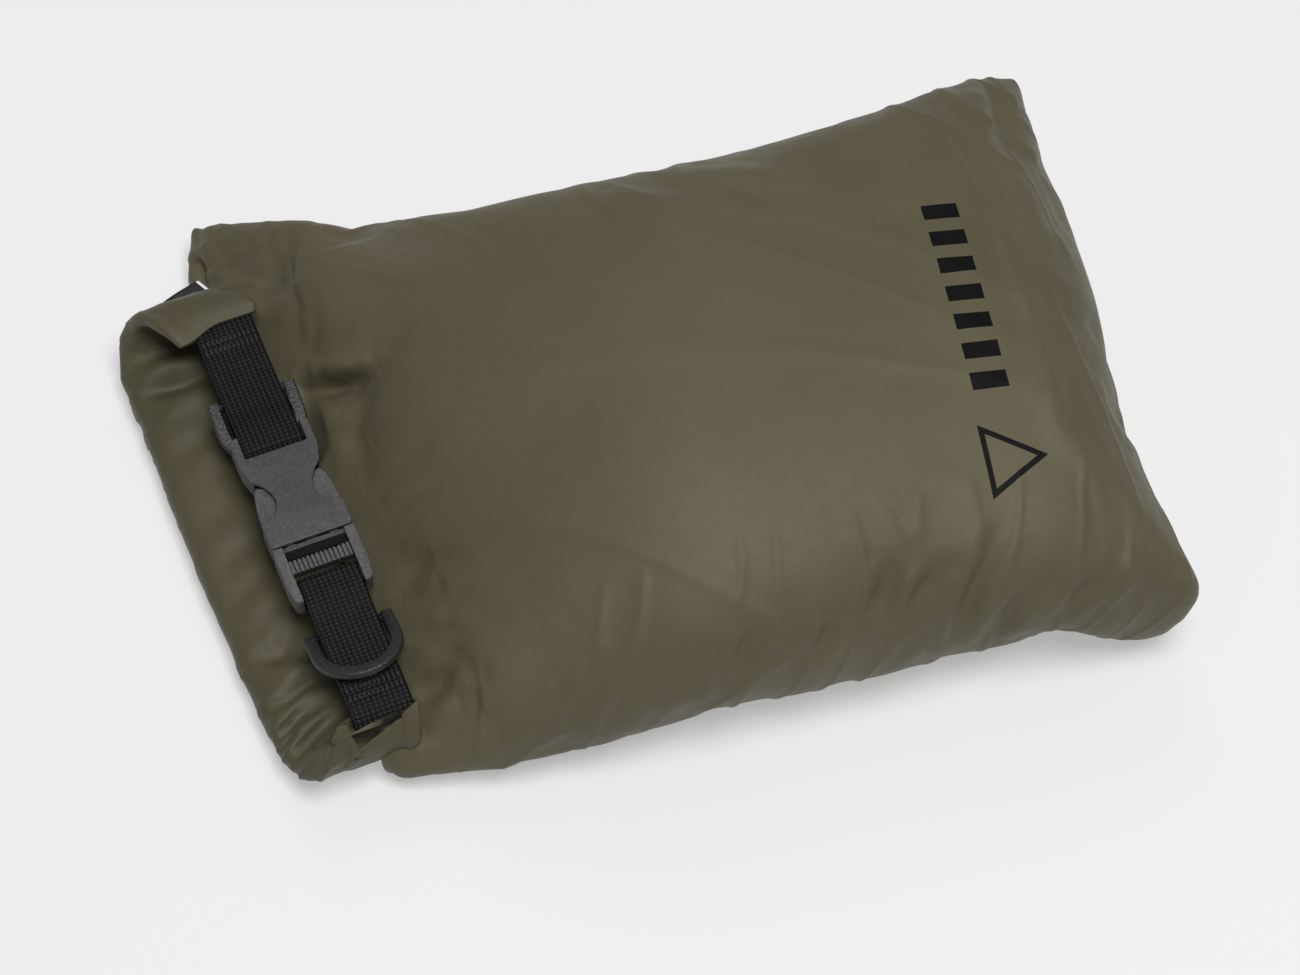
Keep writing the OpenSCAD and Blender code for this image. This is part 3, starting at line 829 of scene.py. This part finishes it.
ringRoom = {"patch": ((-140, -97.5), (11, 45)), "slopeFrom": (20.4, 17.5), "slope": 0.577}
pressedDown(cloth, ringRoom["patch"], ringRoom["slopeFrom"], ringRoom["slope"])
cloth.data.shade_smooth()
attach(cloth, "sack")
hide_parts("front_panel", "back_panel", "base_panel",
            "side_seam_tape_upper", "side_seam_tape_lower", "base_seam_tape")

# Rolled mouth: the last share of each end turns in over the rim and runs back inside, as an open sleeve
roll = {"sleeveShare": 0.03, "sleeveWall": 0.9, "sleeveDepth": 0.045}

# Middle line of the roll in its own Y-Z plane, with the width and thickness of the roll there
rollPath = [
    # y, z, left edge X, right edge X, half thickness, how square the section is, cupping
    (70, 38.6, -24.0, 3.8, 1.1, 1, 0),
    (74, 39.6, -26.0, 4.8, 1.3, 1, 0),
    (80, 39.6, -29.0, 2.5, 1.6, 1, -0.5),
    (85.5, 37.4, -31.5, -2, 2.0, 1, -1),
    (89.5, 32.6, -35, -4, 2.5, 0.9, -0.5),
    (91, 25.5, -38.5, -4, 3.4, 0.7, 0),
    (88, 17, -41, -2, 4.8, 0.4, 0),
    (82, 11.5, -42.8, -1, 6.6, 0.2, 0),
    (74, 9.8, -42.5, 0, 8.0, 0, 0),
    (60, 9.6, -42.5, 1.2, 8.4, 0, 0),
    (35, 9.5, -42.8, 2.6, 8.6, 0, 0),
    (0, 9.5, -43, 2.8, 8.6, 0, 0),
    (-30, 9.5, -42.6, 2.8, 8.6, 0, 0),
    (-50, 9.5, -42, 2.0, 8.4, 0, 0),
    (-62, 10, -41, 0, 7.8, 0.1, 0),
    (-70, 12, -40.5, -0.5, 6.6, 0.2, 0),
    (-77, 16, -38.5, -1, 5.6, 0.4, 0.5),
    (-81, 22, -34, 0, 4.6, 0.6, 2),
    (-81, 27, -30, 1.5, 3.8, 0.8, 3),
    (-79, 31, -26, 3, 3.2, 0.8, 4),
    (-76, 34, -22.5, 3.8, 2.8, 0.8, 4),
]
rollKnots = np.linspace(0, 1, len(rollPath))
rollTable = np.array(rollPath, float)


# A smooth value between the rows of a table
def smoothRow(table, knots, s):
    last = len(knots) - 1
    i = min(last - 1, int(s * last))
    t = s * last - i
    before, after = table[max(0, i - 1)], table[min(last, i + 2)]
    m0, m1 = (table[i + 1] - before) / 2, (after - table[i]) / 2
    return ((2 * t ** 3 - 3 * t ** 2 + 1) * table[i] + (t ** 3 - 2 * t ** 2 + t) * m0
            + (-2 * t ** 3 + 3 * t ** 2) * table[i + 1] + (t ** 3 - t ** 2) * m1)


# A section of the roll in halves of its width and thickness: oval where square is 0,
# an evenly stepped flat band where it is 1
def rollSection(t, square, flat):
    angle = 2 * math.pi * t
    c, sn = math.cos(angle), math.sin(angle)
    oval = (math.copysign(abs(c) ** 0.62, c), math.copysign(abs(sn) ** 0.8, sn))
    core, quarter = 1 - flat, math.pi * flat / 2
    u = t * (4 * core + 4 * quarter)
    if u < quarter:
        band = (core + flat * math.cos(u / flat), math.sin(u / flat))
    elif u < quarter + 2 * core:
        band = (core - (u - quarter), 1)
    elif u < 3 * quarter + 2 * core:
        turn = (u - quarter - 2 * core) / flat + math.pi / 2
        band = (-core + flat * math.cos(turn), math.sin(turn))
    elif u < 3 * quarter + 4 * core:
        band = (-core + (u - 3 * quarter - 2 * core), -1)
    else:
        turn = (u - 3 * quarter - 4 * core) / flat + 1.5 * math.pi
        band = (core + flat * math.cos(turn), math.sin(turn))
    return tuple(a * (1 - square) + b * square for a, b in zip(oval, band))


def rollPoint(s, t):
    share = roll["sleeveShare"]
    inner = max(0, (share - s) / share, (s - 1 + share) / share)
    main = min(1, max(0, (s - share) / (1 - 2 * share)))
    _, _, left, right, half, square, _ = smoothRow(rollTable, rollKnots, main)
    along, lift = rollSection(t, square, 2 * half / (right - left))
    # the lip under the webbing dips to a point at the lower end, the hem leans at the upper one
    if lift < 0:
        aside = along + 0.3
        main -= 0.10 * ease(main, 0.86, 1) * (1 - min(1, abs(aside) / (0.6 if aside < 0 else 1.4)))
    if inner > 0.3:
        main += (1 if main < 0.5 else -1) * roll["sleeveDepth"] * ease(inner, 0.3, 1)
    y, z, left, right, half, _, cup = smoothRow(rollTable, rollKnots, main)
    after, before = (smoothRow(rollTable, rollKnots, min(1, max(0, main + d)))[:2]
                     for d in (0.004, -0.004))
    way = Vector((0, after[0] - before[0], after[1] - before[1])).normalized()
    out = Vector((0, -way.z, way.y))
    y += 4.0 * (1 - ease(main, 0, 0.12)) * ease(along, -0.9, 0.1)
    x = (left + right) / 2 + (right - left) / 2 * along * (1 - 0.08 * ease(inner, 0, 0.4))
    lift *= half * (1 - roll["sleeveWall"] / half * ease(inner, 0, 0.4))
    lift -= cup * along * along
    point = Vector((x, y, z)) - out * lift
    point.z = max(0.3, point.z)
    return inClosure(*point)


rollBand = fromGrid("rollBand", 260, 110, rollPoint, (0.09, 0.24), capped=True)
rollBand.data.materials.append(rollShadedCloth)
rollCreases = [
    # by the upper end
    ("ridge", 4.0, 3.4, [(-40, 79, 18), (-30, 78, 19), (-14, 76, 19)]),
    ("valley", 2.6, 2.0, [(-41, 71, 18), (-30, 70.5, 19), (-16, 69, 19)]),
    ("fold", 3.2, 1.2, [(-40, 62, 18), (-30, 65, 19), (-16, 66, 19)]),
    ("fold", 4.0, 0.9, [(-36, 40, 18), (-18, 45, 19)]),
    ("fold", 4.5, 0.8, [(-39, 10, 18), (-20, 18, 19)]),
    # gathers that run in to the lower webbing
    ("fold", 4.5, 1.0, [(-37, -8, 18), (-20, 3, 19)]),
    ("fold", 4.0, 1.3, [(-39, -20, 18), (-18, -8, 19)]),
    ("valley", 3.4, 1.7, [(-40, -34, 18), (-30, -37, 19), (-16, -27, 19)]),
    ("fold", 3.6, 1.6, [(-40, -40, 18), (-28, -43, 19), (-15, -40, 19)]),
    ("valley", 3.0, 2.0, [(-40, -56, 17), (-30, -54, 19), (-17, -48, 19)]),
    ("valley", 2.8, 2.3, [(-41, -70, 15), (-34, -62, 18), (-19, -58, 19)]),
    ("valley", 2.6, 2.2, [(-37, -76, 16), (-30, -70, 19), (-18, -64, 18)]),
    ("valley", 2.4, 2.0, [(-31, -80, 17), (-27, -74, 20), (-18, -69, 20)]),
    ("fold", 2.6, 1.2, [(-25, -86, 20), (-22, -84, 30), (-20, -78, 36)]),
    ("fold", 2.6, 1.2, [(-4, -86, 18), (-3, -84, 28), (0, -78, 35)]),
    # over the upper flap
    ("fold", 2.8, 0.9, [(-30, 86, 38), (-22, 78, 43), (-18, 71, 41)]),
    ("valley", 2.4, 0.9, [(-6, 84, 40), (-9, 78, 43), (-14, 71, 41)]),
    ("fold", 3.0, 0.9, [(-39, 90, 22), (-36, 86, 34)]),
]
creased(rollBand, [(kind, width, depth, [inClosure(*p) / mm for p in line])
                   for kind, width, depth, line in rollCreases],
        rims=[inClosure(-9, -76, 34), inClosure(-9, 71, 38.5)])
wrinkled(rollBand, rollWrinkles, closureFrame)
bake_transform(rollBand)
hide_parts("rolled_mouth", "roll_end_upper", "roll_end_lower")
print("rolled mouth")

# Webbing
webbing = {
    "width": 20, "thick": 1.3, "edge": 0.9,
    "rowPitch": 1.37, "columnPitch": 1.7, "relief": 0.34, "around": 160,
    "socketBarY": 24.3, "plugBarY": -29.0, "wrapRadius": 2.3,
    "ringPlaces": (45, -47), "ringBarRadius": 1.5, "gap": 0.35,
    "curlY": 73.9, "curlRadius": 8,
}


def arcPoints(cy, cz, r, start, stop, steps):
    return [(cy + r * math.cos(math.radians(start + (stop - start) * i / steps)),
             cz + r * math.sin(math.radians(start + (stop - start) * i / steps))) for i in range(steps + 1)]


def rounded(path):
    spacing = 0.28
    points = np.array(path, float)
    for _ in range(3):  # cut the corners
        fine = [points[0]]
        for a, b in zip(points[:-1], points[1:]):
            fine += [a * 0.75 + b * 0.25, a * 0.25 + b * 0.75]
        fine.append(points[-1])
        points = np.array(fine)
    reach = np.concatenate([[0], np.cumsum(np.linalg.norm(np.diff(points, axis=0), axis=1))])
    count = int(reach[-1] / spacing)
    even = np.linspace(0, reach[-1], count + 1)
    return np.stack([np.interp(even, reach, points[:, i]) for i in range(2)], 1), reach[-1]


def webbingPiece(name, path, flip):
    line, length = rounded(path)
    tangent = np.gradient(line, axis=0)
    tangent /= np.linalg.norm(tangent, axis=1)[:, None]
    half, thick = webbing["width"] / 2, webbing["thick"] / 2
    perimeter = 2 * webbing["width"]

    def place(s, t):
        at = s * (len(line) - 1)
        i = min(len(line) - 2, int(at))
        f = at - i
        p = line[i] * (1 - f) + line[i + 1] * f
        d = tangent[i] * (1 - f) + tangent[i + 1] * f
        n = (-d[1], d[0])
        # round the flat section: t 0..0.5 the top face, 0.5..1 the under face
        top = t < 0.5
        k = t * 2 if top else (1 - t) * 2
        x = -half + webbing["width"] * k
        edge = min(1, (half - abs(x)) / webbing["edge"])
        bulge = math.sqrt(max(0, 1 - (1 - edge) ** 2))
        ribs = abs(math.sin(math.pi * t * perimeter / webbing["columnPitch"]))
        picks = abs(math.sin(math.pi * s * length / webbing["rowPitch"]))
        relief = webbing["relief"] * (math.sqrt(ribs * picks) - 0.6) * bulge
        off = (thick * bulge + relief) * (1 if top else -1)
        return inStrap(x, (p[0] + n[0] * off) * flip, p[1] + n[1] * off)

    size = (perimeter * mm, length * mm)
    piece = fromGrid(name, len(line) - 1, webbing["around"], place, size, capped=True)
    piece.data.materials.append(webbingBlack)
    return piece


def loopPath(bend, bar, ring, sewn):
    curlY, curlR, wrapR, t = webbing["curlY"], webbing["curlRadius"], webbing["wrapRadius"], webbing["thick"]
    ringR, gap = webbing["ringBarRadius"], webbing["gap"]
    dip = -t / 2 - ringR - gap - ringR - gap - t / 2
    return (arcPoints(curlY, -curlR, curlR, bend, 90, 6)
            + [(ring - 4, 0), (bar + 8, wrapR), (bar, wrapR)]
            + arcPoints(bar, 0, wrapR, 100, 260, 8)
            + [(bar, -wrapR), (bar + 7.5, -wrapR), (ring - 2.6, dip), (ring + 2.6, dip),
               (sewn - 3, -t - 0.1), (sewn + 1.8, -t - 0.1)])


upperLoop = loopPath(55, webbing["socketBarY"], webbing["ringPlaces"][0], 66)
upperWebbing = webbingPiece("upperWebbing", upperLoop, 1)
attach(upperWebbing, "sack")
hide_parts("webbing_upper")
lowerLoop = loopPath(5, -webbing["plugBarY"], -webbing["ringPlaces"][1], 70.5)
lowerWebbing = webbingPiece("lowerWebbing", lowerLoop, -1)
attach(lowerWebbing, "plug")
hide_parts("webbing_lower")
print("webbing")


# Moulded parts: edges sharper than this are bevelled, in degrees
sharpAngle = 30


def moulded(node, name, body, finish, width, segments=2):
    bm = bmesh.new()
    bm.from_mesh(nodes[node].data)
    bmesh.ops.remove_doubles(bm, verts=bm.verts, dist=0.00001)
    bmesh.ops.dissolve_limit(bm, angle_limit=math.radians(1), verts=bm.verts, edges=bm.edges)
    sharp = [e for e in bm.edges
             if len(e.link_faces) == 2 and e.calc_face_angle(0) > math.radians(sharpAngle)]
    bmesh.ops.bevel(bm, geom=sharp, offset=width * mm, offset_type="OFFSET", affect="EDGES",
                    segments=segments, profile=0.5, material=-1, clamp_overlap=True)
    bmesh.ops.dissolve_degenerate(bm, edges=bm.edges, dist=0.00002)
    bmesh.ops.recalc_face_normals(bm, faces=bm.faces)
    piece = newMesh(name, bm)
    piece.data.materials.clear()
    piece.data.materials.append(finish)
    piece.modifiers.new("flatFaces", "WEIGHTED_NORMAL").keep_sharp = True
    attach(piece, body)
    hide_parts(node)


moulded("buckle_socket", "socketShell", "sack", bucklePlastic, 0.4, 3)
moulded("buckle_plug", "plugBody", "plug", bucklePlastic, 0.18)
moulded("prong_left", "leftProng", "prong_left", bucklePlastic, 0.3)
moulded("prong_right", "rightProng", "prong_right", bucklePlastic, 0.3)
moulded("ring_upper", "upperRing", "ring_upper", ringPlastic, 0.5, 3)
moulded("ring_lower", "lowerRing", "ring_lower", ringPlastic, 0.5, 3)
moulded("bartack_upper", "upperStitches", "sack", threadBlack, 0.1)
moulded("bartack_lower", "lowerStitches", "plug", threadBlack, 0.1)
print("moulded parts")

# Label
label = {
    "corner": (-7.0, 107.3, 15), "long": 17, "short": 13,
    "shortWay": (0.48, -0.88, -0.1), "longWay": (-0.957, -0.29),
    "wave": 6, "whiteEdge": 0.0008, "thick": 0.7,
}


def labelPoint(s, t):
    x0, y0, z0 = label["corner"]
    a, b = s * label["short"], t * label["long"]
    (ax, ay, az), (bx, by) = label["shortWay"], label["longWay"]
    return inClosure(x0 + ax * a + bx * b, y0 + ay * a + by * b, z0 + math.sin(b / label["wave"]) + az * a)


labelPiece = fromGrid("foldedLabel", 12, 16, labelPoint, (0.017, 0.013), closed=False)
labelPiece.data.materials.append(labelBlack)
labelPiece.data.materials.append(labelWhite)
labelMap = labelPiece.data.uv_layers["weave"].data
for face in labelPiece.data.polygons:
    face.material_index = 1 if labelMap[face.loop_start].uv.x < label["whiteEdge"] else 0
thickness = labelPiece.modifiers.new("thickness", "SOLIDIFY")
thickness.thickness = label["thick"] * mm
applied(labelPiece)
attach(labelPiece, "sack")
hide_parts("care_label")

# The stiffener inside the roll keeps its own shape and gets its finish
stiffenerMaterials = nodes["mouth_stiffener"].data.materials
stiffenerMaterials.clear()
stiffenerMaterials.append(labelBlack)
print("label and inner parts")
